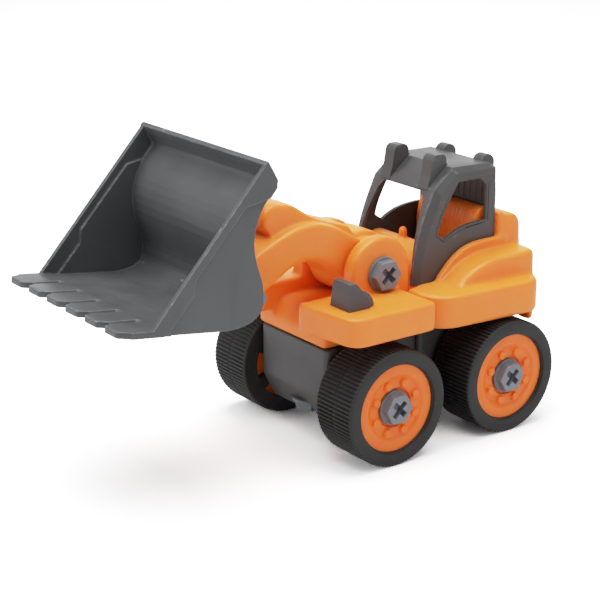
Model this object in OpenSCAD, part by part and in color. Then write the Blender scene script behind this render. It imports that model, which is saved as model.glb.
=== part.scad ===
// Toy front loader, take-apart type: two chassis modules, two body mouldings, a cab,
// a lifting boom, a tilting bucket and four wheels, all held by large plastic hex screws.
// X points forward, Y to the machine's left, Z up from the ground. The lengths along X
// below are measured forward from the rear axle; placed() centres the finished machine.

/* [Wheels] */
// Outer radius of a tyre
wheel_r = 26; // [24:0.5:26.4]
// Distance between the axles
wheelbase = 65; // [62:0.5:68]
// Width of a tyre
tyre_w = 24.3; // [22:0.1:24.4]
// Distance from the centre plane to a tyre's outer face
track_half = 51.3; // [51:0.1:53]
// Radius of the orange hub inside the tyre
hub_r = 19.5; // [18:0.1:20]
// Depth of the hub face behind the tyre's outer face
hub_recess = 1.8; // [1:0.1:3]
// Number of rivet heads round a hub
rivets = 8; // [5:1:12]

/* [Screws] */
// Width across the flats of a screw head
screw_af = 12.2; // [11:0.1:13]
// Height of a screw's hexagon
screw_head_h = 3.6; // [3:0.1:5]
// Radius of the collar under a screw head
collar_r = 7.7; // [7:0.1:8.2]
// Thickness of that collar
collar_t = 1.4; // [1:0.1:2]
// Radius of a screw's plain shank
shank_r = 4; // [3.5:0.1:4.2]
// Radial play of a moving joint on its shank
play = 0.08; // [0.04:0.01:0.1]
// Length of an arm of the cross recess
cross_l = 8.4; // [7:0.1:9]
// Width of an arm of the cross recess
cross_w = 2.4; // [2:0.1:3]
// Depth of the cross recess
cross_d = 2.6; // [1.5:0.1:3.2]

/* [Chassis] */
// Half the width of the chassis
chassis_half = 24.5; // [22:0.5:25]
// Height of the chassis underside above the ground
chassis_z = 12; // [10:0.5:14]
// Height of the chassis top
chassis_top = 48; // [46:0.5:48]
// Forward end of the chassis
chassis_front = 83; // [80:0.5:84]
// Rear end of the chassis
chassis_rear = -20; // [-24:0.5:-16]
// Gap between the front and rear modules
module_gap = 0.5; // [0.2:0.1:1]

/* [Front body] */
// Height of the platforms' top
deck_top = 69; // [68:0.5:70]
// Height of the platforms' underside
deck_under = 56; // [54:0.5:57]
// Half the width over the platforms
deck_half = 49; // [47:0.5:50]
// Forward end of the platforms at the pocket
deck_front = 91.5; // [89:0.5:93]
// Rear end of the platforms
deck_rear = 42.5; // [42:0.1:44]
// Half the width of the boom pocket, which is the distance between the ears
pocket_half = 14.2; // [14.1:0.1:15]
// Height of the pocket floor
pocket_z = 62.5; // [60:0.5:62.5]
// Outer radius of the ears
ear_r = 16.2; // [15:0.1:17]
// Distance from the centre plane to an ear's outer face
ear_face = 22; // [20:0.5:23]

/* [Rear body] */
// Underside of the lowest tier
tier3_under = 53; // [52.6:0.1:54]
// Top of the lowest tier
tier3_top = 68.5; // [67:0.5:69]
// Top of the middle tier at its rear
tier2_top = 78.8; // [77:0.2:81]
// Top of the rim that carries the cab
tier1_top = 83.2; // [82:0.1:84]
// Height of the engine cover
hump_top = 94.5; // [90:0.5:96]
// Distance that the rear end bulges behind the axle
rear_end = 29; // [28:0.5:30]

/* [Cab] */
// Half the width of the cab
cab_half = 23; // [22:0.1:23.4]
// Wall thickness of the cab
cab_wall = 2; // [1.6:0.1:2.4]
// Height of the roof
roof_z = 117.2; // [115:0.5:119]
// Distance of the roof lights from the centre plane
light_y = 13; // [11:0.5:14]
// Width of a roof light
light_w = 6.4; // [5:0.2:7]

/* [Boom] */
// Height of the lift pivot
lift_z = 76.5; // [76:0.1:77]
// Lift pivot, forward of the rear axle
lift_x = 51.5; // [51:0.1:52]
// Half the width of the boom
boom_half = 13.8; // [13:0.1:13.9]
// Radius of the boom's hub
boom_hub_r = 13.6; // [13:0.1:13.8]
// Half the width of the raised spine
spine_half = 8.5; // [7:0.5:10]
// Radius of the round pod at the end of the spine
pod_r = 7.1; // [6:0.1:8]

/* [Bucket] */
// Tilt pivot, forward of the rear axle
tilt_x = 120.5; // [120:0.1:121]
// Height of the tilt pivot
tilt_z = 78; // [77.5:0.1:78.5]
// Half the width of the bucket
bucket_half = 46.3; // [45:0.5:48]
// Wall thickness of the bucket
bucket_wall = 2.2; // [2:0.1:2.6]
// Number of teeth
teeth = 6; // [4:1:8]
// Forward reach of the teeth
tooth_tip = 195.5; // [194:0.5:196]

/* [Hidden] */
$fn = 96;
cut = 0.5;                                  // overshoot of a cutting solid
mid_x = (tooth_tip - rear_end) / 2;         // middle of the machine, from the rear axle
front_x = wheelbase;                        // front axle, from the rear axle
seam_x = wheelbase / 2;                     // seam between the chassis modules
tyre_in = track_half - tyre_w;              // a tyre's inner face
hub_face = track_half - hub_recess;         // a hub's outer face
hub_back = tyre_in + 3;                     // a hub's inner face
tyre_bore = hub_r + 0.9;                    // radius of the tyre's barrel
collar_seat = hub_face - 2.2;               // where a wheel screw's collar bears
boss_end = chassis_half + 2.1;              // end face of an axle boss
thread_r = shank_r - 0.4;                   // radius of the threaded end
screw_ac = screw_af / cos(30);              // width over a head's corners
rivet_ring = 11.4;                          // radius of the ring of rivet heads
fit = 0.02;                                 // radial play of a fixed screw or peg
nut_h = 5.2;                                // thickness of a pivot nut
head_depth = 6;                             // depth of the counterbores under the chassis
front_screws = [58, 74];                    // front body's screws, from the rear axle
rear_screws = [-9, 16];                     // rear body's screws, from the rear axle
screw_grip = 8;                             // how far a screw enters the body above
join_x = seam_x + 8;                        // screw through the chassis tongue
keel_half = 24.4;                           // half the width of the front body's centre
light_mid = [76, 32];                       // middle of a headlight, [x, y]
lamp_peg = 3;                               // radius of a headlight's peg
slot_z = 22;                                // underside of the chassis tongue
tongue_h = 9;                               // thickness of the chassis tongue
tongue_l = 15;                              // reach of the chassis tongue
brow_x = 10.4;                              // front edge of the roof
pillar_in = 19.4;                           // inner face of a front pillar's foot
skirt_z = 62.5;                             // lower edge of the cab's walls
well_z = 61;                                // floor of the well under the cab
lug_in = boom_half + 0.4;                   // inner face of a bucket lug
lug_out = lug_in + 5;                       // outer face of a bucket lug
lug_r = 7.6;                                // radius of a bucket lug
tooth_l = 5.2;                              // how far a tooth reaches past the notch beside it
tooth_t = 2.7;                              // thickness of the toothed pad
groove_l = 11;                              // length of a groove between two teeth
tip_drop = 7.5;                             // slope of the bucket floor, in degrees

ORANGE = "#e8833a";
HUB_ORANGE = "#ee7a2c";
DARK = "#63656a";
CAB_GREY = "#6c6a6e";
BLACK = "#2c2a2a";
STEEL = "#8f99a3";

// ---------- helpers ----------

// Moves a shape from the rear-axle measure to the machine's middle.
module placed() {
    translate([-mid_x, 0, 0])
        children();
}

// A side profile, drawn as [x, z], from y = a to y = b.
module across(a, b) {
    translate([0, b, 0])
        rotate([90, 0, 0])
            linear_extrude(b - a)
                children();
}

// A front profile, drawn as [y, z], from x = a to x = b.
module along(a, b) {
    translate([a, 0, 0])
        rotate([90, 0, 90])
            linear_extrude(b - a)
                children();
}

// A plan profile, drawn as [x, y], from z = a to z = b.
module upward(a, b) {
    translate([0, 0, a])
        linear_extrude(b - a)
            children();
}

// A straight round bar along Y.
module y_bar(x, z, r, a, b) {
    translate([x, b, z])
        rotate([90, 0, 0])
            cylinder(r = r, h = b - a);
}

// Both sides of a shape that is drawn on the left.
module both_sides() {
    children();
    mirror([0, 1, 0])
        children();
}

// Points of an arc about c, from angle a to angle b.
function arc(c, r, a, b, n = 10) =
    [for (i = [0 : n]) let (t = a + (b - a) * i / n) c + r * [cos(t), sin(t)]];

// Points of a cubic curve with end points p and s and handles q and r.
function curve(p, q, r, s, n = 8) =
    [for (i = [0 : n]) let (t = i / n, u = 1 - t)
        u * u * u * p + 3 * u * u * t * q + 3 * u * t * t * r + t * t * t * s];

// An open line moved sideways by d, to the left of its direction.
function beside(p, d) =
    [for (i = [0 : len(p) - 1])
        let (v = p[min(i + 1, len(p) - 1)] - p[max(i - 1, 0)], u = v / norm(v))
        p[i] + d * [-u[1], u[0]]];

// A closed line, drawn anticlockwise, moved outwards by d.
function around(p, d) =
    let (n = len(p))
    [for (i = [0 : n - 1])
        let (v = p[(i + 1) % n] - p[(i + n - 1) % n], u = v / norm(v))
        p[i] + d * [u[1], -u[0]]];

function reversed(p) = [for (i = [len(p) - 1 : -1 : 0]) p[i]];

// ---------- screws ----------

module cross_recess() {
    for (a = [45, 135])
        rotate([0, 0, a])
            translate([-cross_l / 2, -cross_w / 2, -cross_d])
                cube([cross_l, cross_w, cross_d + cut]);
}

// Head, collar and shank on the Z axis: the collar bears on z = 0, the head points up.
// The plain shank reaches down to -plain and the threaded end to -full.
module big_screw(plain, full) {
    difference() {
        union() {
            cylinder(r = collar_r, h = collar_t);
            translate([0, 0, collar_t])
                cylinder(d = screw_ac, h = screw_head_h, $fn = 6);
            translate([0, 0, -plain])
                cylinder(r = shank_r, h = plain + cut);
            translate([0, 0, -full])
                cylinder(r = thread_r, h = full - plain + cut);
        }
        translate([0, 0, collar_t + screw_head_h])
            cross_recess();
    }
}

// Hexagon nut on the Z axis, with a collar that bears on z = 0.
module big_nut() {
    difference() {
        union() {
            cylinder(r = collar_r, h = collar_t);
            translate([0, 0, collar_t])
                cylinder(d = screw_ac, h = nut_h - collar_t, $fn = 6);
        }
        translate([0, 0, -cut])
            cylinder(r = thread_r + fit, h = nut_h + 2 * cut);
    }
}

// Screw from below: the head sits in a counterbore of the chassis.
module upward_screw(x, tip) {
    translate([x, 0, chassis_z + head_depth])
        rotate([180, 0, 0])
            big_screw(4, tip - chassis_z - head_depth);
}

// ---------- chassis ----------

// Side profile of the whole chassis: upright nose, then a chamfer to the underside.
module chassis_profile() {
    polygon([
        [chassis_rear, chassis_top],
        [chassis_rear, 26],
        [chassis_rear + 7, chassis_z],
        [chassis_front - 7, chassis_z],
        [chassis_front, 25],
        [chassis_front, chassis_top]
    ]);
}

module chassis_block(a, b) {
    r = 2.5;
    intersection() {
        across(-chassis_half, chassis_half)
            chassis_profile();
        upward(0, chassis_top)
            polygon(concat(
                arc([b - r, chassis_half - r], r, 0, 90, 5),
                arc([a + r, chassis_half - r], r, 90, 180, 5),
                arc([a + r, -chassis_half + r], r, 180, 270, 5),
                arc([b - r, -chassis_half + r], r, 270, 360, 5)
            ));
    }
}

// Axle boss on both sides, and the sockets that the wheel screws enter.
module axle_bosses(x) {
    both_sides()
        y_bar(x, wheel_r, 9, chassis_half - cut, boss_end);
}

module axle_sockets(x) {
    both_sides() {
        y_bar(x, wheel_r, thread_r + fit, 8, boss_end + cut);
        y_bar(x, wheel_r, shank_r + fit, chassis_half - 3, boss_end + cut);
    }
}

// Counterbore and hole for a screw that comes up through the chassis.
module upward_hole(x) {
    translate([x, 0, chassis_z - cut])
        cylinder(r = collar_r + 0.5, h = head_depth + cut);
    translate([x, 0, chassis_z])
        cylinder(r = shank_r + fit, h = chassis_top);
}

module front_chassis() {
    color(DARK)
    placed()
    difference() {
        union() {
            chassis_block(seam_x + module_gap / 2, chassis_front);
            axle_bosses(front_x);
        }
        axle_sockets(front_x);
        for (x = front_screws)
            upward_hole(x);
        // slot for the tongue of the rear module, and the hole of its screw
        translate([seam_x - cut, -10.3, slot_z - 0.3])
            cube([tongue_l + cut + 0.4, 20.6, tongue_h + 0.6]);
        translate([join_x, 0, chassis_z - cut])
            cylinder(r = collar_r + 0.5, h = head_depth + cut);
        translate([join_x, 0, chassis_z])
            cylinder(r = shank_r + fit, h = slot_z + 2 - chassis_z);
        translate([join_x, 0, chassis_z])
            cylinder(r = thread_r + fit, h = 28);
    }
}

module rear_chassis() {
    color(DARK)
    placed()
    difference() {
        union() {
            chassis_block(chassis_rear, seam_x - module_gap / 2);
            axle_bosses(0);
            translate([seam_x - 6, -10, slot_z])
                cube([tongue_l + 6, 20, tongue_h]);
        }
        axle_sockets(0);
        for (x = rear_screws)
            upward_hole(x);
        translate([join_x, 0, slot_z - cut])
            cylinder(r = shank_r + fit, h = 2 + cut);
        translate([join_x, 0, slot_z])
            cylinder(r = thread_r + fit, h = tongue_h + cut);
    }
}

module chassis_screw() {
    color(STEEL)
    placed()
    translate([join_x, 0, chassis_z + head_depth])
        rotate([180, 0, 0])
            big_screw(slot_z + 2 - chassis_z - head_depth, 21);
}

// ---------- front body ----------

// Plan of one platform, on the left.
module platform_plan() {
    polygon(concat(
        [[deck_rear, pocket_half]],
        arc([deck_rear + 2, deck_half - 2], 2, 180, 90, 4),
        arc([deck_front - 3.6 - 7, deck_half - 7], 7, 90, 8, 8),
        arc([deck_front - 1.5, pocket_half + 1.5], 1.5, 0, -90, 4)
    ));
}

// Side profile of the centre: it carries the ears and ends in the rounded nose.
module keel_profile() {
    polygon(concat(
        [[34.5, chassis_top + 0.6], [84.5, chassis_top + 0.6], [84.5, 54]],
        curve([84, 55], [81.5, 60], [79, pocket_z], [73, pocket_z]),
        [[34.5, pocket_z]]
    ));
}

module ear_profile() {
    translate([lift_x, lift_z])
        circle(r = ear_r);
    translate([lift_x - ear_r, pocket_z - 4])
        square([2 * ear_r, lift_z - pocket_z + 4]);
}

module front_body() {
    color(ORANGE)
    placed()
    difference() {
        union() {
            both_sides() {
                upward(deck_under, deck_top)
                    platform_plan();
                across(pocket_half, ear_face)
                    ear_profile();
            }
            across(-keel_half, keel_half)
                keel_profile();
        }
        // bores of the lift pivot
        y_bar(lift_x, lift_z, shank_r + fit, 0, ear_face + cut);
        y_bar(lift_x, lift_z, thread_r + fit, -ear_face - cut, 0);
        // clearance round the collars of the bolt and the nut
        both_sides()
            y_bar(lift_x, lift_z, collar_r + 0.3, ear_face, ear_face + nut_h);
        // clearance round the boom's hub
        y_bar(lift_x, lift_z, boom_hub_r + 0.5, -pocket_half, pocket_half);
        // sockets of the screws from below
        for (x = front_screws)
            translate([x, 0, chassis_top])
                cylinder(r = thread_r + fit, h = screw_grip + 1);
        // sockets of the headlights
        both_sides()
            headlight_peg(fit);
    }
}

module front_body_screws() {
    color(STEEL)
    placed()
    for (x = front_screws)
        upward_screw(x, chassis_top + screw_grip);
}

// ---------- headlights ----------

module headlight_peg(gap) {
    translate([light_mid[0], light_mid[1], deck_top - 5])
        cylinder(r = lamp_peg + gap, h = 5 + cut);
}

// Wedge with a domed lobe behind it.
module headlight_shape() {
    intersection() {
        across(light_mid[1] - 6.8, light_mid[1] + 6.8)
            polygon([[71, deck_top], [82.3, deck_top], [81.2, 80.6], [77.6, 80.6], [71, 73]]);
        along(60, 90)
            polygon([[25.2, deck_top], [38.8, deck_top], [37.6, 81], [26.4, 81]]);
    }
    translate([71.5, light_mid[1], deck_top])
        rotate_extrude(angle = 360)
            polygon(concat([[0, 0]], arc([0, 0], 6, 0, 90, 8)));
    translate([light_mid[0], light_mid[1], deck_top - 4.8])
        cylinder(r = lamp_peg, h = 5);
}

module headlight_left() {
    color(DARK)
    placed()
    headlight_shape();
}

module headlight_right() {
    color(DARK)
    placed()
    mirror([0, 1, 0])
        headlight_shape();
}

// ---------- rear body ----------

// Half plan of the middle tier: narrower than the lowest tier, with a bulging tail.
module tier2_half() {
    polygon(concat(
        [[26, 0], [26, 38.5]],
        arc([-24.6 + 5, 40 - 5], 5, 90, 175, 7),
        curve([-25.2, 28], [-27, 18], [1 - rear_end, 10], [1 - rear_end, 0], 6)
    ));
}

module tier3_half() {
    side = [[33.5, 0], [33.5, 24.8], [40.3, 24.8]];
    polygon(concat(
        side,
        arc([40.3 - 14, 46.5 - 14], 14, 0, 86, 10),
        arc([-20 + 8, 49.4 - 8], 8, 86, 150, 7),
        curve([-22.5, 39.2], [-25, 35], [-26.2, 32], [-26.8, 27], 5),
        curve([-27.4, 20], [-28.2, 14], [-rear_end, 8], [-rear_end, 0], 5)
    ));
}

module tier2_profile() {
    polygon(concat(
        [[-40, tier3_under], [26, tier3_under]],
        curve([21.5, tier3_top], [14.5, 74.5], [7, tier2_top - 0.6], [-4, tier2_top - 0.3], 10),
        [[-40, tier2_top]]
    ));
}

module tier1_profile() {
    polygon(concat(
        [[-18.8, tier3_under], [33.5, tier3_under], [33.5, 66.4], [25.5, 66.4]],
        curve([25, 66.6], [17, 75], [12, tier1_top], [-4, tier1_top], 10),
        [[-18.8, tier1_top]]
    ));
}

module engine_cover() {
    x = 0.2 - rear_end;
    y = 25.2;
    r = 3.5;
    intersection() {
        across(-y, y)
            polygon(concat(
                [[x, tier3_top], [-13.4, tier3_top], [-13.4, hump_top], [-17, hump_top - 0.6]],
                arc([x + 7.4, hump_top - 9.4], 7.4, 68, 180, 7)
            ));
        upward(tier3_top, hump_top)
            polygon(concat(
                [[-13, -y], [-13, y]],
                arc([x + r, y - r], r, 90, 180, 5),
                arc([x + r, r - y], r, 180, 270, 5)
            ));
    }
}

// Well between the walls of the cab, open at the top.
module cab_well() {
    across(0.1 - cab_half + cab_wall, cab_half - cab_wall - 0.1)
        polygon([[-10.9, well_z], [24, well_z], [24, 90], [-10.9, 90]]);
}

// Seat moulded up from the floor: a backrest with a rounded front, against the rear wall.
module seat() {
    across(-19.5, 19.5)
        polygon(concat(
            [[-10.5, 60], [-2.6, 60]],
            curve([-2.6, 84], [-3.4, 92], [-4.6, 96.6], [-10.5, 96.6], 8)
        ));
}

// Cowl between the cab's front pillars, and the post that stands on it.
module cowl() {
    across(-19.1, 19.1)
        polygon([[19, 60], [32.6, 60], [32.6, 72], [31.4, 77], [28, 81], [24, 82.8], [19, 82.8]]);
    translate([21.6, 0, 82])
        cylinder(r = 1.9, h = 4);
    translate([21.6, 0, 86])
        sphere(r = 1.9);
}

// The three tiers, the base on the chassis and the two blocks under the tail.
module rear_tiers() {
    both_sides() {
        upward(tier3_under, tier3_top)
            tier3_half();
        intersection() {
            upward(tier3_under, 90)
                tier2_half();
            across(0, 60)
                tier2_profile();
        }
        translate([-20.5, 35, 47])
            cube([4, 8.5, 8]);
    }
    across(-26.6, 26.6)
        tier1_profile();
    upward(chassis_top + 0.6, tier3_under + cut)
        translate([-22, -25])
            square([55.5, 50]);
}

module rear_body() {
    color(ORANGE)
    placed()
    difference() {
        union() {
            difference() {
                rear_tiers();
                cab_well();
            }
            engine_cover();
            seat();
            cowl();
        }
        // slot that takes the cab's walls
        both_sides()
            cab_seat();
        for (x = rear_screws)
            translate([x, 0, chassis_top])
                cylinder(r = thread_r + fit, h = screw_grip + 1);
    }
}

module rear_body_screws() {
    color(STEEL)
    placed()
    for (x = rear_screws)
        upward_screw(x, chassis_top + screw_grip);
}

// ---------- cab ----------

function cab_front() =
    curve([33.4, 67], [32.6, 84], [28.6, 94], [21.4, 108.4], 8);

// Side of the cab: below the rim of the body, its walls drop into the slot.
module cab_profile() {
    polygon(concat(
        [[25.6, 67], [24.4, skirt_z], [-13, skirt_z]],
        [[-13, roof_z - 2.4], [-11.4, roof_z - 0.6], [brow_x, roof_z]],
        reversed(cab_front())
    ));
}

// Front view of the cab: upright sides and a chamfered roof.
module cab_front_view(d) {
    side = cab_half - d;
    polygon([
        [-side, 60], [-side, 104], [0.6 - side, roof_z - 2.8 - d], [3.4 - side, roof_z - d],
        [side - 3.4, roof_z - d], [side - 0.6, roof_z - 2.8 - d], [side, 104], [side, 60]
    ]);
}

module cab_inside() {
    w = cab_wall;
    intersection() {
        across(-cab_half + w, cab_half - w)
            polygon(concat(
                [[33.4 - w, 60], [-13 + w, 60], [-13 + w, roof_z - 3 - w / 2]],
                [[-11 + w, roof_z - w - 0.6], [brow_x - 0.8, roof_z - w]],
                reversed(beside(cab_front(), w))
            ));
        along(-20, 40)
            cab_front_view(w);
    }
}

function window_points() = concat(
    [[-4.1, 110.6], [-7.6, 107.4], [-7.6, 91.2]],
    curve([-4, 91.3], [5, 91], [11, 89.5], [16.6, 85.8], 6),
    [[20.8, 88.8]],
    curve([20, 92], [18, 98], [14, 105], [8.8, 111], 5)
);

module windscreen_view() {
    polygon([
        [-pillar_in, 60], [-pillar_in, 76], [-17.6, 92], [-15.6, 103.5], [-13, 107],
        [13, 107], [15.6, 103.5], [17.6, 92], [pillar_in, 76], [pillar_in, 60]
    ]);
}

// Front roof light: an upright slab with a round crown, on the brow, and a small fin behind it.
module front_light() {
    across(light_y - light_w / 2, light_y + light_w / 2)
        polygon(concat(
            [[11, roof_z - 3], [19.6, 107.4], [22.2, 107.8], [20.4, 113.5]],
            arc([16.4, 120], 2.9, 10, 90, 6),
            arc([13.8, 120], 2.9, 90, 172, 6)
        ));
    across(light_y - 0.8, light_y + 0.8)
        polygon([[7.4, roof_z - 0.4], [11.5, roof_z - 0.4], [11.5, roof_z + 2.6]]);
}

// Rear roof light: a disc over the rear edge of the roof.
module rear_light() {
    across(light_y - light_w / 2 + 0.4, light_y + light_w / 2 - 0.4)
        polygon(concat(
            [[-12.6, 108], [-10.4, roof_z - 1.4]],
            arc([-14, 115], 4.2, 30, 200, 12)
        ));
}

// Fine line engraved round a side window.
module window_line() {
    across(cab_half - 0.35, cab_half + cut)
        difference() {
            polygon(around(window_points(), 1.45));
            polygon(around(window_points(), 0.9));
        }
}

module cab() {
    color(CAB_GREY)
    placed() {
        difference() {
            intersection() {
                across(-cab_half, cab_half)
                    cab_profile();
                along(-20, 40)
                    cab_front_view(0);
            }
            cab_inside();
            across(-cab_half - cut, cab_half + cut)
                polygon(window_points());
            along(10, 40)
                windscreen_view();
            both_sides()
                window_line();
        }
        both_sides() {
            front_light();
            rear_light();
        }
        for (y = [-16 : 4 : 16])
            translate([-11.2, y - 0.3, 98])
                cube([0.8, 0.6, 15.4]);
    }
}

// Space that the cab's walls take up in the rear body.
module cab_seat() {
    across(cab_half - cab_wall - 0.1, cab_half + 0.1)
        polygon([
            [-13.2, skirt_z - 0.2], [24.6, skirt_z - 0.2], [25.8, 66.7],
            [34.2, 66.7], [34.2, 120], [-13.2, 120]
        ]);
    across(pillar_in - 0.1, cab_half)
        polygon([[25, 66.7], [25, 90], [34.2, 90], [34.2, 66.7]]);
    across(-1, cab_half)
        polygon([
            [-13.2, skirt_z - 0.2], [-10.8, skirt_z - 0.2], [-10.8, 120], [-13.2, 120]
        ]);
}

// ---------- boom ----------

// Boomerang outline: hub at the rear, bend at the top, eye at the front.
module boom_profile() {
    translate([lift_x, lift_z])
        circle(r = boom_hub_r);
    polygon(concat(
        [[lift_x + 3, lift_z + 13]],
        curve([56, 90.2], [68, 98], [75, 101.4], [83, 101.6], 6),
        curve([86, 101.6], [94, 101.2], [104, 96.5], [tilt_x + 4.2, tilt_z + 6.8], 6),
        [[tilt_x - 3.4, tilt_z - 7.2]],
        curve([108, 75.6], [98, 81], [93, 85.6], [86, 85.6], 6),
        curve([84, 85.6], [78, 85.2], [73, 81.5], [lift_x + 13, lift_z - 3], 6)
    ));
    translate([tilt_x, tilt_z])
        circle(r = 8);
}

// Raised spine on top of the boom, ending in the round pod.
module spine_profile() {
    polygon(concat(
        [[lift_x + 10, lift_z + 4]],
        arc([lift_x, lift_z], ear_r, 158, 74, 9),
        curve([59, 96.2], [65, 98.2], [73, 100.4], [80, 103.8], 6),
        [[86.6, 108.7], [91.6, 110.8], [98, 104], [92, 95]],
        [[70, 90]]
    ));
    translate([97, 104.4])
        circle(r = pod_r);
}

module boom() {
    color(ORANGE)
    placed()
    difference() {
        union() {
            across(-boom_half, boom_half)
                boom_profile();
            across(-spine_half, spine_half)
                spine_profile();
        }
        y_bar(lift_x, lift_z, shank_r + play, -boom_half - cut, boom_half + cut);
        y_bar(tilt_x, tilt_z, shank_r + fit, -boom_half - cut, boom_half + cut);
    }
}

// Left-hand head, shank through both ears, nut on the right.
module boom_bolt() {
    color(STEEL)
    placed()
    translate([lift_x, ear_face, lift_z])
        rotate([-90, 0, 0])
            big_screw(ear_face + pocket_half - 0.1, 2 * ear_face + nut_h);
}

module boom_nut() {
    color(STEEL)
    placed()
    translate([lift_x, -ear_face, lift_z])
        rotate([90, 0, 0])
            big_nut();
}

// ---------- bucket ----------

// Outside of the back and floor, from the top lip round to the cutting edge.
function back_line() = concat(
    [[127.9, 141.3], [123.4, 133.4], [123.8, 130]],
    curve([129, 124], [133.6, 117.4], [135.4, 110], [133, 101.5], 7),
    curve([132.6, 100], [131, 94.6], [129.2, 91], [129.9, 85.5], 5),
    curve([130, 84], [130.8, 79], [136, 75.8], [147, 76.2], 7),
    [[183, 81.2]]
);

module bucket_outline() {
    polygon(back_line());
}

module bucket_shell() {
    polygon(concat(back_line(), reversed(beside(back_line(), bucket_wall))));
}

// Recessed panel of a cheek, inside its raised band.
module cheek_panel() {
    polygon(concat(
        [[124, 127], [138.4, 124.6], [161.8, 99.6], [162.4, 93.8], [173.5, 82]],
        [[173, 79], [120, 60], [120, 120]]
    ));
}

// One tooth, drawn flat on the floor line: its root is at x = 0.
module tooth(pitch) {
    w = pitch / 2;
    half = concat(
        [[-14, w], [0, w], [0.4, w * 0.9]],
        arc([tooth_l - 2.2, w * 0.46 - 0.2], 2.2, 60, 0, 5)
    );
    polygon(concat(half, reversed([for (p = half) [p[0], -p[1]]])));
}

// Groove between two teeth: a wedge that widens and deepens away from the edge.
module tooth_groove() {
    translate([-groove_l - 1, 0, 0])
        rotate([0, -6, 0])
            linear_extrude(4)
                polygon([[0, -1.4], [0, 1.4], [groove_l + 2, 0.5], [groove_l + 2, -0.5]]);
}

// The toothed pad, laid on the front of the floor and sloped with it.
module tooth_row() {
    pitch = 2 * bucket_half / teeth;
    translate([tooth_tip - tooth_l * cos(tip_drop), 0, 82])
        rotate([0, -tip_drop, 0])
            difference() {
                linear_extrude(tooth_t)
                    for (i = [0 : teeth - 1])
                        translate([0, (i - (teeth - 1) / 2) * pitch])
                            tooth(pitch);
                for (i = [1 : teeth - 1])
                    translate([0, (i - teeth / 2) * pitch, tooth_t - 1.7])
                        tooth_groove();
            }
}

module bucket_lug() {
    across(lug_in, lug_out) {
        translate([tilt_x, tilt_z])
            circle(r = lug_r);
        polygon([[tilt_x + 1, tilt_z + lug_r], [131, 94], [131.4, 80.5], [tilt_x + 1, tilt_z - lug_r]]);
    }
}

module bucket() {
    color(DARK)
    placed()
    difference() {
        union() {
            across(-bucket_half, bucket_half)
                bucket_shell();
            both_sides() {
                across(bucket_half - bucket_wall, bucket_half)
                    bucket_outline();
                across(bucket_half - bucket_wall - 1, bucket_half - 1)
                    intersection() {
                        bucket_outline();
                        cheek_panel();
                    }
                bucket_lug();
            }
            tooth_row();
        }
        both_sides()
            across(bucket_half - 1, bucket_half + cut)
                cheek_panel();
        both_sides()
            y_bar(tilt_x, tilt_z, shank_r + play, lug_in - cut, lug_out + cut);
    }
}

module bucket_bolt() {
    color(STEEL)
    placed()
    translate([tilt_x, lug_out + 0.1, tilt_z])
        rotate([-90, 0, 0])
            big_screw(2 * lug_out, 2 * lug_out + nut_h);
}

module bucket_nut() {
    color(STEEL)
    placed()
    translate([tilt_x, -lug_out - 0.1, tilt_z])
        rotate([90, 0, 0])
            big_nut();
}

// ---------- wheels ----------

// A wheel is drawn on the left, its axle along Y.
module on_axle(x, side) {
    placed()
    translate([x, 0, wheel_r])
        mirror([0, side < 0 ? 1 : 0, 0])
            rotate([-90, 0, 0])
                children();
}

module tyre() {
    r = 1.3;
    difference() {
        rotate_extrude()
            polygon(concat(
                [[9, tyre_in], [wheel_r - r, tyre_in], [wheel_r, tyre_in + r]],
                arc([wheel_r - r, track_half - r], r, 0, 90, 4),
                [[hub_r + 0.4, track_half], [hub_r + 0.1, track_half - 0.6]],
                [[tyre_bore, hub_face], [tyre_bore, hub_back], [9, hub_back]]
            ));
        // windows of the web on the inner side
        for (a = [0 : 60 : 300])
            rotate([0, 0, a])
                translate([0, 0, tyre_in - cut])
                    linear_extrude(hub_back - tyre_in + 2 * cut)
                        polygon(concat(arc([0, 0], 11, -19, 19, 4), arc([0, 0], 18.5, 22, -22, 6)));
    }
}

// Disc with a raised outer ring, a shallow dish with rivet heads, and a recess for the collar.
module hub() {
    dish = hub_face - 0.9;
    seat = collar_seat - 0.1;
    rotate_extrude()
        polygon([
            [shank_r + play, hub_back], [tyre_bore, hub_back], [tyre_bore, hub_face - 1],
            [hub_r, hub_face], [hub_r - 4.4, hub_face], [hub_r - 6, dish],
            [collar_r + 1.1, dish], [collar_r + 1.1, seat], [shank_r + play, seat]
        ]);
    for (i = [0 : rivets - 1])
        rotate([0, 0, (i + 0.5) * 360 / rivets])
            translate([rivet_ring, 0, dish - 0.3])
                cylinder(r = 1.85, h = 1.4);
}

module wheel_screw() {
    translate([0, 0, collar_seat])
        big_screw(collar_seat - chassis_half + 2.8, collar_seat - 9);
}

module tyre_front_left() { color(BLACK) on_axle(front_x, 1) tyre(); }
module tyre_front_right() { color(BLACK) on_axle(front_x, -1) tyre(); }
module tyre_rear_left() { color(BLACK) on_axle(0, 1) tyre(); }
module tyre_rear_right() { color(BLACK) on_axle(0, -1) tyre(); }
module hub_front_left() { color(HUB_ORANGE) on_axle(front_x, 1) hub(); }
module hub_front_right() { color(HUB_ORANGE) on_axle(front_x, -1) hub(); }
module hub_rear_left() { color(HUB_ORANGE) on_axle(0, 1) hub(); }
module hub_rear_right() { color(HUB_ORANGE) on_axle(0, -1) hub(); }
module wheel_screw_front_left() { color(STEEL) on_axle(front_x, 1) wheel_screw(); }
module wheel_screw_front_right() { color(STEEL) on_axle(front_x, -1) wheel_screw(); }
module wheel_screw_rear_left() { color(STEEL) on_axle(0, 1) wheel_screw(); }
module wheel_screw_rear_right() { color(STEEL) on_axle(0, -1) wheel_screw(); }

// ---------- the machine ----------

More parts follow.
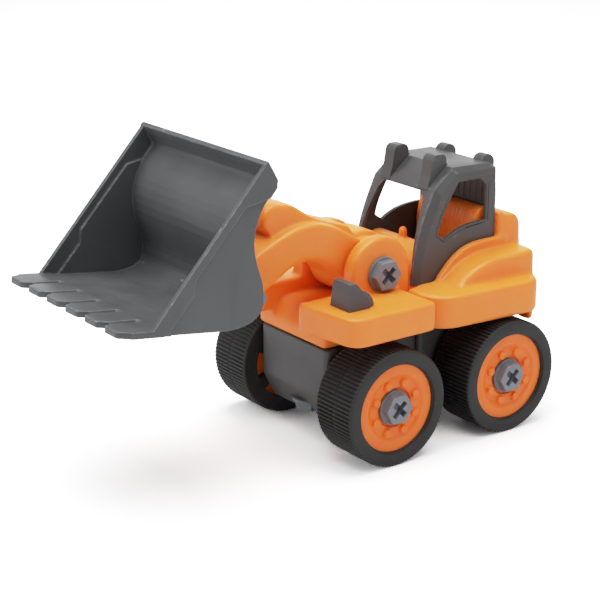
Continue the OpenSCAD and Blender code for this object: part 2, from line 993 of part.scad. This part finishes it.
front_chassis();
rear_chassis();
chassis_screw();
front_body();
front_body_screws();
rear_body();
rear_body_screws();
cab();
headlight_left();
headlight_right();
boom();
boom_bolt();
boom_nut();
bucket();
bucket_bolt();
bucket_nut();
tyre_front_left();
tyre_front_right();
tyre_rear_left();
tyre_rear_right();
hub_front_left();
hub_front_right();
hub_rear_left();
hub_rear_right();
wheel_screw_front_left();
wheel_screw_front_right();
wheel_screw_rear_left();
wheel_screw_rear_right();
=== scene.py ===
import math

import bmesh
import bpy
import numpy as np
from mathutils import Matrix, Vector


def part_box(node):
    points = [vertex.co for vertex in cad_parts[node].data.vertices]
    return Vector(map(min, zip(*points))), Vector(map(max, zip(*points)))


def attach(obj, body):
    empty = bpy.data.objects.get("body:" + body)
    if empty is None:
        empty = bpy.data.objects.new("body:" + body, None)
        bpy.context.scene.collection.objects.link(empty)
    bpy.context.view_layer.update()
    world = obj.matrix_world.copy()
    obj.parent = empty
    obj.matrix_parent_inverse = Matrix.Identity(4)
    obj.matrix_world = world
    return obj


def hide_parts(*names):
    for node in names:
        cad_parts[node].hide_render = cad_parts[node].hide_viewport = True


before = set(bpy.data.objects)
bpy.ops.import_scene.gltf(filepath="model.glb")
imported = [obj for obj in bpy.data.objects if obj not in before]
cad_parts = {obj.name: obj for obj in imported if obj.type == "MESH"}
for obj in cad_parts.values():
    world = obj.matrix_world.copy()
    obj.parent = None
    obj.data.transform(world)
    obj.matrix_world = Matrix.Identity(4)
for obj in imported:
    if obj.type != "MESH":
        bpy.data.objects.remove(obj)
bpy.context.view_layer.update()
scene = bpy.context.scene
MM = 0.001


def middle(node):
    low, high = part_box(node)
    return (low + high) / 2


REAR = middle("tyre_rear_left").x
FRONT = middle("tyre_front_left").x
AXLE_Z = middle("tyre_rear_left").z
CAB_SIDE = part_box("cab")[1].y / MM
BUCKET_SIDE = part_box("bucket")[1].y / MM
HUB_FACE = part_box("hub_front_left")[1].y


def at(x, y, z):
    """A point in mm, with x measured forward from the rear axle."""
    return Vector((REAR + x * MM, y * MM, z * MM))


# ---------------------------------------------------------------- mesh helpers


def link(name, mesh):
    piece = bpy.data.objects.new(name, mesh)
    scene.collection.objects.link(piece)
    return piece


def mesh_from(name, verts, faces):
    mesh = bpy.data.meshes.new(name)
    mesh.from_pydata([tuple(v) for v in verts], [], faces)
    mesh.update()
    return mesh


def coords(mesh):
    co = np.empty(len(mesh.vertices) * 3)
    mesh.vertices.foreach_get("co", co)
    return co.reshape(-1, 3)


def set_coords(mesh, co):
    mesh.vertices.foreach_set("co", co.astype(np.float32).ravel())
    mesh.update()


def relax(mesh, rounds, weight=None, hollow=0.25):
    """Rounds of averaging with the neighbours, which turn sharp edges into fillets.
    hollow is how far inner corners follow: they stay crisper than outer edges."""
    co = coords(mesh)
    edges = np.empty(len(mesh.edges) * 2, dtype=np.int64)
    mesh.edges.foreach_get("vertices", edges)
    a, b = edges[0::2], edges[1::2]
    count = len(co)
    degree = np.maximum(np.bincount(a, minlength=count) + np.bincount(b, minlength=count), 1)
    w = 0.5 * np.ones(count) if weight is None else 0.5 * weight(co)
    normal = np.empty(count * 3)
    for i in range(rounds):
        if i % 3 == 0:
            set_coords(mesh, co)
            mesh.vertex_normals.foreach_get("vector", normal)
        shift = np.empty_like(co)
        for k in range(3):
            total = np.bincount(a, co[b, k], count) + np.bincount(b, co[a, k], count)
            shift[:, k] = total / degree - co[:, k]
        inward = (shift * normal.reshape(-1, 3)).sum(1) <= 0
        co += shift * (w * np.where(inward, 1.0, hollow))[:, None]
    set_coords(mesh, co)


def evaluated(piece):
    graph = bpy.context.evaluated_depsgraph_get()
    graph.update()
    mesh = bpy.data.meshes.new_from_object(piece.evaluated_get(graph))
    old = piece.data
    piece.modifiers.clear()
    piece.data = mesh
    bpy.data.meshes.remove(old)
    return piece


def smooth_shade(mesh):
    mesh.polygons.foreach_set("use_smooth", [True] * len(mesh.polygons))


def soften(node, voxel, rounds, keep=0.4, passes=(), carve=None, emboss=None):
    """A new piece from a CAD node: remeshed finely, then relaxed so that its edges are rounded.
    carve and emboss move the points before and after the relaxing."""
    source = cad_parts[node].data
    verts = [tuple(v.co) for v in source.vertices]
    faces = [tuple(p.vertices) for p in source.polygons]
    piece = link(node + "_moulding", mesh_from(node + "_moulding", verts, faces))
    weld = piece.modifiers.new("weld", "WELD")
    weld.merge_threshold = 1e-6
    remesh = piece.modifiers.new("remesh", "REMESH")
    remesh.mode = "VOXEL"
    remesh.voxel_size = voxel * MM
    evaluated(piece)
    if carve:
        set_coords(piece.data, carve(coords(piece.data)))
    relax(piece.data, rounds)
    for more_rounds, weight in passes:
        relax(piece.data, more_rounds, weight)
    if emboss:
        set_coords(piece.data, emboss(coords(piece.data)))
    if keep < 1:
        decimate = piece.modifiers.new("decimate", "DECIMATE")
        decimate.ratio = keep
        evaluated(piece)
    smooth_shade(piece.data)
    piece.data.materials.clear()
    return piece


def finish_piece(piece, body, node, material):
    """Gives a piece its material and its body, and hides the CAD node that it stands for."""
    piece.data.materials.append(material)
    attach(piece, body)
    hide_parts(node)


def bezier(p, q, r, s, n):
    """n + 1 points of a cubic curve."""
    out = []
    for i in range(n + 1):
        t = i / n
        u = 1 - t
        out.append(tuple(
            u ** 3 * a + 3 * u * u * t * b + 3 * u * t * t * c + t ** 3 * d
            for a, b, c, d in zip(p, q, r, s)
        ))
    return out


def arc(cx, cy, r, a0, a1, n):
    """n + 1 points of an arc, from a0 to a1 degrees."""
    return [
        (cx + r * math.cos(math.radians(a0 + (a1 - a0) * i / n)),
         cy + r * math.sin(math.radians(a0 + (a1 - a0) * i / n)))
        for i in range(n + 1)
    ]


# ---------------------------------------------------------------- materials


def plastic(name, colour, second, rough, grain, bump, rubbed_edge_and_highlight, scatter=0.0, level=0.5, streak=None,
            edges=(0.52, 0.60)):
    """Moulded plastic: mottled colour, a fine grain in the surface, uneven gloss, and lighter edges that
    are part rubbed wear and part painted highlight.
    """
    m = bpy.data.materials.new(name)
    m.use_nodes = True
    nodes, links = m.node_tree.nodes, m.node_tree.links
    nodes.clear()
    out = nodes.new("ShaderNodeOutputMaterial")
    bsdf = nodes.new("ShaderNodeBsdfPrincipled")
    links.new(bsdf.outputs["BSDF"], out.inputs["Surface"])
    where = nodes.new("ShaderNodeTexCoord")

    def noise(scale, detail=3.0, stretch=None):
        n = nodes.new("ShaderNodeTexNoise")
        n.inputs["Scale"].default_value = scale
        n.inputs["Detail"].default_value = detail
        if stretch:
            mapping = nodes.new("ShaderNodeMapping")
            mapping.inputs["Scale"].default_value = stretch
            links.new(where.outputs["Object"], mapping.inputs["Vector"])
            links.new(mapping.outputs["Vector"], n.inputs["Vector"])
        else:
            links.new(where.outputs["Object"], n.inputs["Vector"])
        return n

    def ramp(source, low, high, a, b):
        r = nodes.new("ShaderNodeMapRange")
        r.inputs["From Min"].default_value = low
        r.inputs["From Max"].default_value = high
        r.inputs["To Min"].default_value = a
        r.inputs["To Max"].default_value = b
        links.new(source, r.inputs["Value"])
        return r.outputs["Result"]

    def mixed(factor, a, b):
        mix = nodes.new("ShaderNodeMix")
        mix.data_type = "RGBA"
        links.new(factor, mix.inputs["Factor"])
        for value, socket in ((a, mix.inputs["A"]), (b, mix.inputs["B"])):
            if isinstance(value, tuple):
                socket.default_value = (*value, 1)
            else:
                links.new(value, socket)
        return mix.outputs["Result"]

    patches = noise(45, 2.0)
    base = mixed(ramp(patches.outputs["Fac"], 0.35, 0.65, 0, 1), colour, second)
    if streak:
        lines = noise(30, 4.0, streak)
        darker = tuple(c * 0.86 for c in colour)
        base = mixed(ramp(lines.outputs["Fac"], 0.5, 0.75, 0, 0.6), base, darker)
    # painted highlight: convex edges are lightened towards the edge colour, which stands in both for
    # rubbed wear and for light caught along the edges
    shape = nodes.new("ShaderNodeNewGeometry")
    edge = ramp(shape.outputs["Pointiness"], *edges, 0, 1)
    edge_breakup = noise(420, 4.0)
    share = nodes.new("ShaderNodeMath")
    share.operation = "MULTIPLY"
    links.new(edge, share.inputs[0])
    links.new(ramp(edge_breakup.outputs["Fac"], 0.4, 0.7, 0.25, 0.8), share.inputs[1])
    base = mixed(share.outputs["Value"], base, rubbed_edge_and_highlight)
    links.new(base, bsdf.inputs["Base Color"])
    smears = noise(90, 5.0)
    links.new(ramp(smears.outputs["Fac"], 0.3, 0.7, rough - 0.06, rough + 0.07), bsdf.inputs["Roughness"])
    bsdf.inputs["Specular IOR Level"].default_value = level
    if scatter:
        bsdf.inputs["Subsurface Weight"].default_value = scatter
        bsdf.inputs["Subsurface Radius"].default_value = (1.0, 0.14, 0.05)
        bsdf.inputs["Subsurface Scale"].default_value = 0.004
    fine = noise(grain, 2.0)
    waves = noise(60, 1.0)
    height = nodes.new("ShaderNodeMath")
    height.operation = "MULTIPLY_ADD"
    links.new(waves.outputs["Fac"], height.inputs[0])
    height.inputs[1].default_value = 3.0
    links.new(fine.outputs["Fac"], height.inputs[2])
    rough_up = nodes.new("ShaderNodeBump")
    rough_up.inputs["Strength"].default_value = bump
    rough_up.inputs["Distance"].default_value = 0.00005
    links.new(height.outputs["Value"], rough_up.inputs["Height"])
    links.new(rough_up.outputs["Normal"], bsdf.inputs["Normal"])
    return m


# the lighter edge colours below are part rubbed wear and part painted edge highlight, strongest on the
# bucket and the cab
ORANGE = plastic("orange_plastic", (0.89, 0.222, 0.025), (0.93, 0.238, 0.029), 0.42, 2600, 0.18,
                 scatter=0.75, rubbed_edge_and_highlight=(0.94, 0.33, 0.06), level=0.42)
HUB = plastic("hub_plastic", (0.88, 0.158, 0.009), (0.92, 0.172, 0.011), 0.42, 2600, 0.15,
              scatter=0.75, rubbed_edge_and_highlight=(0.94, 0.25, 0.04), level=0.4)
GREY = plastic("bucket_plastic", (0.058, 0.060, 0.063), (0.066, 0.068, 0.071), 0.44, 2400, 0.22,
               rubbed_edge_and_highlight=(0.21, 0.214, 0.22), streak=(6.0, 1.0, 1.2), edges=(0.51, 0.56))
CAB = plastic("cab_plastic", (0.060, 0.059, 0.060), (0.068, 0.067, 0.068), 0.42, 2400, 0.2,
              rubbed_edge_and_highlight=(0.13, 0.128, 0.129), level=0.34, edges=(0.51, 0.57))
CHASSIS = plastic("chassis_plastic", (0.048, 0.047, 0.048), (0.055, 0.054, 0.055), 0.46, 2400, 0.25,
                  rubbed_edge_and_highlight=(0.085, 0.085, 0.085))
TYRE = plastic("tyre_plastic", (0.011, 0.0105, 0.0105), (0.015, 0.0145, 0.0145), 0.55, 2000, 0.3,
               rubbed_edge_and_highlight=(0.040, 0.038, 0.037), level=0.35)
SCREW = plastic("screw_plastic", (0.140, 0.152, 0.174), (0.160, 0.170, 0.192), 0.36, 3000, 0.15,
                rubbed_edge_and_highlight=(0.22, 0.235, 0.26))

# ---------------------------------------------------------------- bodies and chassis


def zone(x=(-200, 200), y=(-1, 200), z=(-1, 200), fade=2.0):
    """1 inside a box in mm, x from the rear axle and y on either side, fading to 0 outside."""
    def weight(co):
        place = ((co[:, 0] - REAR) / MM, np.abs(co[:, 1]) / MM, co[:, 2] / MM)
        away = np.zeros(len(co))
        for p, (low, high) in zip(place, (x, y, z)):
            away = np.maximum(away, np.maximum(low - p, p - high))
        return np.clip(1 - away / fade, 0, 1)
    return weight


RIB_PITCH = 2.4
RIB_HEIGHT = 0.16


def seat_ribs(co):
    """Fine upright ribs on the face of the seat."""
    x, y, z = (co[:, 0] - REAR) / MM, co[:, 1] / MM, co[:, 2] / MM
    face = (np.abs(y) < 18.6) & (x > -9) & (x < 0.5) & (z > 64) & (z < 97.5)
    waves = RIB_HEIGHT * (1 + np.cos(2 * math.pi * y / RIB_PITCH))
    co[:, 0] -= np.where(face, waves, 0) * MM
    return co


# many rounds give the soft edges of the orange mouldings
front_body = soften("front_body", 0.5, 46)
finish_piece(front_body, "frame", "front_body", ORANGE)

rear_body = soften("rear_body", 0.45, 5, emboss=seat_ribs, passes=[
    (60, zone(z=(40, 68.8), fade=1.2)),  # slab
    (60, zone(y=(28, 60), z=(69, 90), fade=1.5)),  # second tier
    (70, zone(x=(-40, -14.5), z=(80.5, 100), fade=1.5)),  # engine cover
    (10, zone(y=(21.5, 28), z=(69, 90), fade=1.0)),  # first tier
    (14, zone(x=(24, 40), y=(-1, 19.5), z=(66, 90), fade=1.5)),  # cowl
])
finish_piece(rear_body, "frame", "rear_body", ORANGE)

pod = zone(x=(84, 110), y=(-1, 12), z=(100, 115))
boom = soften("boom", 0.45, 46, passes=[(40, pod)])
finish_piece(boom, "boom", "boom", ORANGE)

for node in ("front_chassis", "rear_chassis"):
    chassis = soften(node, 0.45, 5, keep=0.3)
    finish_piece(chassis, "frame", node, CHASSIS)

for node in ("headlight_left", "headlight_right"):
    lamp = soften(node, 0.25, 4)
    finish_piece(lamp, "frame", node, CAB)

# ---------------------------------------------------------------- bucket and cab

TEETH = 6
LIP_STEP = 0.6
GROOVE_DEPTH = 1.0
# the front of the bucket's floor, which rises forward
TOOTH_ROOT = 190.3
FLOOR_Z = 82
FLOOR_SLOPE = math.tan(math.radians(7.5))


def bucket_lines(co):
    """A step below the top lip, and deep grooves between the teeth."""
    x, y, z = (co[:, 0] - REAR) / MM, co[:, 1] / MM, co[:, 2] / MM
    back = np.interp(z, (124.0, 130.0, 133.4, 141.3), (129.0, 123.8, 123.4, 127.9))
    inside = (z > 124) & (z < 136.4) & (x > back + 1.2) & (x < back + 4.5) & (np.abs(y) < 43.4)
    co[:, 0] -= np.where(inside, LIP_STEP * np.clip((z - 124) / 6, 0, 1), 0) * MM
    pitch = 2 * BUCKET_SIDE / TEETH
    off = np.abs(y / pitch - np.round(y / pitch)) * pitch
    height = z - FLOOR_Z - (x - TOOTH_ROOT) * FLOOR_SLOPE
    start = np.clip((x - 178) / 1.5, 0, 1)
    width = np.interp(x, (178, 191), (1.9, 1.1))
    groove = (height > 1.3) & (np.abs(y) < 41) & (x > 178) & (x < 191)
    depth = GROOVE_DEPTH * start * np.clip(2 - 2 * off / width, 0, 1)
    co[:, 2] -= np.where(groove, depth, 0) * MM
    return co


bucket = soften("bucket", 0.28, 1, keep=0.26, carve=bucket_lines)
finish_piece(bucket, "bucket", "bucket", GREY)

PILLAR_CHAMFER = 3.2
WINDOW_LINE_DEPTH = 0.4
# the front edge of the cab's side, from the sill over the brow to the roof
FRONT_LINE = bezier((33.4, 67), (32.6, 84), (28.6, 94), (21.4, 108.4), 90) + bezier(
    (21.4, 108.4), (17.7, 111.3), (14.1, 114.3), (10.4, 117.2), 30)


def cab_lines(co):
    """Deepens the rear half of the lines round the side windows, and chamfers the cab's front corners."""
    x, z, y = (co[:, 0] - REAR) / MM, co[:, 2] / MM, np.abs(co[:, 1]) / MM
    groove = (y > CAB_SIDE - 0.45) & (y < CAB_SIDE - 0.22) & (z > 70) & (z < 112) & (x > -14) & (x <= 4)
    co[:, 1] -= np.where(groove, np.sign(co[:, 1]) * WINDOW_LINE_DEPTH, 0) * MM
    near = np.nonzero((y > CAB_SIDE - PILLAR_CHAMFER) & (x > 4))[0]
    away = np.full(len(near), 1e9)
    for px, pz in FRONT_LINE:
        away = np.minimum(away, np.hypot(x[near] - px, z[near] - pz))
    limit = CAB_SIDE - 0.75 * np.clip(PILLAR_CHAMFER - away, 0, None)
    co[near, 1] = np.sign(co[near, 1]) * np.minimum(y[near], limit) * MM
    return co


cab = soften("cab", 0.17, 1, keep=0.14, carve=cab_lines)
finish_piece(cab, "frame", "cab", CAB)

# ---------------------------------------------------------------- screws

CORNERS = ("front_left", "front_right", "rear_left", "rear_right")
CROSS_EXTRA = 1.1


def deeper_cross(co):
    """A deeper recess in a screw head that faces along Y."""
    centre = (co.min(0) + co.max(0)) / 2
    x, z = np.abs(co[:, 0] - centre[0]) / MM, np.abs(co[:, 2] - centre[2]) / MM
    out = 1 if co[:, 1].max() > 0 else -1
    depth = (co[:, 1] * out).max() / MM - co[:, 1] * out / MM
    floor = (np.minimum(x, z) < 1.4) & (np.maximum(x, z) < 4.4) & (depth > 2.3) & (depth < 3.0)
    co[:, 1] -= np.where(floor, out * CROSS_EXTRA, 0) * MM
    return co


SEEN_SCREWS = ["wheel_screw_" + corner for corner in CORNERS] + ["boom_bolt", "boom_nut"]
for node in SEEN_SCREWS:
    screw = soften(node, 0.18, 2, carve=deeper_cross if node != "boom_nut" else None)
    finish_piece(screw, "frame", node, SCREW)
for node in ("bucket_bolt", "bucket_nut"):
    screw = soften(node, 0.25, 2)
    finish_piece(screw, "boom", node, SCREW)
for node in ("chassis_screw", "front_body_screws", "rear_body_screws"):
    screw = soften(node, 0.3, 2, keep=0.3)
    finish_piece(screw, "frame", node, SCREW)

# ---------------------------------------------------------------- wheels


def revolve(profile, steps, cut):
    """A closed profile [(r, y, w)] in mm about Y. cut(k) is the depth at step k where w is 1."""
    angles = np.arange(steps) * 2 * math.pi / steps
    depth = np.array([cut(k) for k in range(steps)])
    r = np.array([p[0] for p in profile])
    y = np.array([p[1] for p in profile])
    w = np.array([p[2] for p in profile])
    radius = r[None, :] - depth[:, None] * w[None, :]
    verts = np.stack([
        radius * np.cos(angles)[:, None],
        np.broadcast_to(y, radius.shape),
        radius * np.sin(angles)[:, None],
    ], axis=2).reshape(-1, 3) * MM
    p = len(profile)
    faces = []
    for k in range(steps):
        a, b = k * p, ((k + 1) % steps) * p
        for j in range(p):
            n = (j + 1) % p
            faces.append((a + j, a + n, b + n, b + j))
    return verts.tolist(), faces


RIBS = 88
RIB_DEPTH = 0.85
# how deep the groove is at each step of one rib
PITCH = [0, 0, 0, 0.7, 1, 1, 1, 0.7]
SHOULDER = 1.3
CENTRE_GROOVE = 0.55


def tyre_mesh():
    """A tyre with cross ribs on its tread, and a web with six windows on its inner side."""
    low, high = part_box("tyre_front_left")
    inner, outer = low.y / MM, high.y / MM
    r = (high.z - low.z) / 2 / MM
    y0, y1 = inner + SHOULDER, outer - SHOULDER
    mid = (y0 + y1) / 2
    profile = [(20.4, inner, 0), (r - SHOULDER, inner, 0)]
    for i, (x, y) in enumerate(arc(r - SHOULDER, y0, SHOULDER, -75, 0, 4)):
        profile.append((x, y, 0.12 * i))
    steps = 30
    for i in range(steps + 1):
        y = y0 + 0.25 + (y1 - y0 - 0.5) * i / steps
        edge = min(y - y0, y1 - y)
        if abs(y - mid) < 0.3:
            profile.append((r - CENTRE_GROOVE, y, RIB_DEPTH - CENTRE_GROOVE))
        else:
            profile.append((r, y, RIB_DEPTH * min(0.6 + 0.4 * edge / 0.8, 1)))
    for i, (x, y) in enumerate(arc(r - SHOULDER, y1, SHOULDER, 0, 90, 5)):
        profile.append((x, y, 0.12 * max(4 - i, 0)))
    face = outer
    profile += [
        (23.0, face, 0), (20.6, face, 0), (20.25, face - 0.08, 0), (20.05, face - 0.3, 0),
        (19.95, face - 0.9, 0), (19.6, face - 1.0, 0), (19.5, face - 1.2, 0),
        (19.5, face - 1.9, 0), (20.4, face - 2.2, 0),
    ]
    verts, faces = revolve(profile, RIBS * len(PITCH), lambda k: PITCH[k % len(PITCH)])
    # the web on the inner side, with six windows
    rings = [9.0, 11.0, 18.5, 20.45]
    turns = 180
    web0, web1 = inner, inner + 3
    base = len(verts)
    for y in (web0, web1):
        for radius in rings:
            for k in range(turns):
                t = 2 * math.pi * k / turns
                verts.append([radius * math.cos(t) * MM, y * MM, radius * math.sin(t) * MM])

    def index(layer, ring, k):
        return base + (layer * len(rings) + ring) * turns + k % turns

    def is_open(ring, k):
        return ring == 1 and (k + 10) % 30 < 20

    for ring in range(3):
        for k in range(turns):
            if is_open(ring, k):
                for side in (1, 2):
                    faces.append((index(0, side, k), index(0, side, k + 1),
                                  index(1, side, k + 1), index(1, side, k)))
                continue
            for layer in (0, 1):
                faces.append((index(layer, ring, k), index(layer, ring + 1, k),
                              index(layer, ring + 1, k + 1), index(layer, ring, k + 1)))
            if ring == 1:
                for step, edge_k in ((-1, k), (1, k + 1)):
                    if is_open(1, k + step):
                        faces.append((index(0, 1, edge_k), index(0, 2, edge_k),
                                      index(1, 2, edge_k), index(1, 1, edge_k)))
    for ring in (0, 3):
        for k in range(turns):
            faces.append((index(0, ring, k), index(0, ring, k + 1),
                          index(1, ring, k + 1), index(1, ring, k)))
    mesh = mesh_from("tyre_ribbed", verts, faces)
    bm = bmesh.new()
    bm.from_mesh(mesh)
    bmesh.ops.recalc_face_normals(bm, faces=bm.faces)
    bm.to_mesh(mesh)
    bm.free()
    smooth_shade(mesh)
    mesh.set_sharp_from_angle(angle=math.radians(40))
    mesh.materials.append(TYRE)
    return mesh


tyre_shape = tyre_mesh()


RIVETS = 8
RIVET_RING = 11.4
RIVET_R = 2.1
RIVET_DOME = 0.45


def raise_rivets(co):
    """Taller, domed rivet heads round the dish of a hub."""
    x, z = (co[:, 0] - FRONT) / MM, (co[:, 2] - AXLE_Z) / MM
    for k in range(RIVETS):
        turn = (k + 0.5) * 2 * math.pi / RIVETS
        away = np.hypot(x - RIVET_RING * math.cos(turn), z - RIVET_RING * math.sin(turn))
        head = (away < RIVET_R) & (co[:, 1] > HUB_FACE - 1.6 * MM)
        co[:, 1] += np.where(head, RIVET_DOME * np.clip((RIVET_R - away) / 0.5, 0, 1), 0) * MM
    return co


hub_first = soften("hub_front_left", 0.26, 3, keep=0.4, emboss=raise_rivets)
hub_centre = Vector((FRONT, 0, AXLE_Z))
set_coords(hub_first.data, coords(hub_first.data) - np.array(hub_centre))
hub_first.location = hub_centre
for where in CORNERS:
    centre = Vector((FRONT if "front" in where else REAR, 0, AXLE_Z))
    side = 0 if "left" in where else math.pi
    tyre = link("tyre_" + where + "_ribbed", tyre_shape)
    tyre.location = centre
    tyre.rotation_euler = (0, 0, side)
    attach(tyre, "wheel_" + where)
    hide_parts("tyre_" + where)
    hub = hub_first if where == "front_left" else link("hub_" + where + "_moulding", hub_first.data)
    hub.location = centre
    hub.rotation_euler = (0, 0, side)
    if not hub.data.materials:
        hub.data.materials.append(HUB)
    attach(hub, "wheel_" + where)
    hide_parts("hub_" + where)

# ---------------------------------------------------------------- floor, light and camera

floor = link("floor", mesh_from("floor", [(-6, -6, 0), (6, -6, 0), (6, 6, 0), (-6, 6, 0)], [(0, 1, 2, 3)]))
paper = bpy.data.materials.new("paper")
paper.use_nodes = True
paper_nodes, paper_links = paper.node_tree.nodes, paper.node_tree.links
paper_nodes.remove(paper_nodes["Principled BSDF"])
matt = paper_nodes.new("ShaderNodeBsdfDiffuse")
# seen directly, the paper is over-exposed, so only the contact shadows show on it
seen = paper_nodes.new("ShaderNodeLightPath")
tint = paper_nodes.new("ShaderNodeMix")
tint.data_type = "RGBA"
tint.clamp_factor = False
tint.inputs["A"].default_value = (0.82, 0.82, 0.82, 1)
tint.inputs["B"].default_value = (2.2, 2.2, 2.2, 1)
paper_links.new(seen.outputs["Is Camera Ray"], tint.inputs["Factor"])
paper_links.new(tint.outputs["Result"], matt.inputs["Color"])
paper_links.new(matt.outputs["BSDF"], paper_nodes["Material Output"].inputs["Surface"])
floor.data.materials.append(paper)

world = bpy.data.worlds.new("studio")
world.use_nodes = True
world.node_tree.nodes["Background"].inputs["Color"].default_value = (1, 1, 1, 1)
world.node_tree.nodes["Background"].inputs["Strength"].default_value = 0.36
scene.world = world


def softbox(name, place, aim, width, height, power):
    data = bpy.data.lights.new(name, "AREA")
    data.shape = "RECTANGLE"
    data.size, data.size_y = width, height
    data.energy = power
    lamp = bpy.data.objects.new(name, data)
    lamp.location = place
    lamp.rotation_euler = (Vector(aim) - Vector(place)).to_track_quat("-Z", "Y").to_euler()
    scene.collection.objects.link(lamp)


softbox("overhead", (0.1, 0.0, 1.3), (0, 0, 0), 1.3, 1.3, 30.0)
softbox("bucket_side", (1.15, -0.55, 0.75), (0, 0, 0.05), 1.0, 1.0, 9.5)
softbox("near_side", (-0.75, 1.25, 0.65), (0, 0, 0.05), 1.0, 1.0, 4.6)
softbox("behind", (-0.9, -1.2, 0.55), (0, 0, 0.08), 1.3, 0.8, 5.0)

camera_data = bpy.data.cameras.new("camera")
camera_data.sensor_width = 36
camera_data.lens = 96.13
camera = bpy.data.objects.new("camera", camera_data)
AZIMUTH, ELEVATION, DISTANCE = math.radians(143.745), math.radians(18.135), 0.6979
target = at(79.23, 0, 64.0)
back = Vector((math.sin(AZIMUTH) * math.cos(ELEVATION),
               -math.cos(AZIMUTH) * math.cos(ELEVATION), math.sin(ELEVATION)))
camera.location = target + back * DISTANCE
camera.rotation_euler = (-back).to_track_quat("-Z", "Y").to_euler()
camera_data.clip_start = 0.01
scene.collection.objects.link(camera)
scene.camera = camera

scene.view_settings.view_transform = "Standard"
scene.view_settings.look = "None"
tone = scene.view_settings.curve_mapping
tone.white_level = (3, 3, 3)
# steep in the shadows, then a long shoulder that keeps bright orange from clipping
TONES = ((0.05, 0.15), (0.10, 0.30), (0.15, 0.44), (0.20, 0.56), (0.30, 0.69), (0.50, 0.79), (0.75, 0.92))
points = tone.curves[3].points
points[0].location, points[1].location = (0, 0), (1, 1)
for exposed, printed in TONES:
    points.new(exposed, printed)
tone.update()
scene.view_settings.use_curve_mapping = True
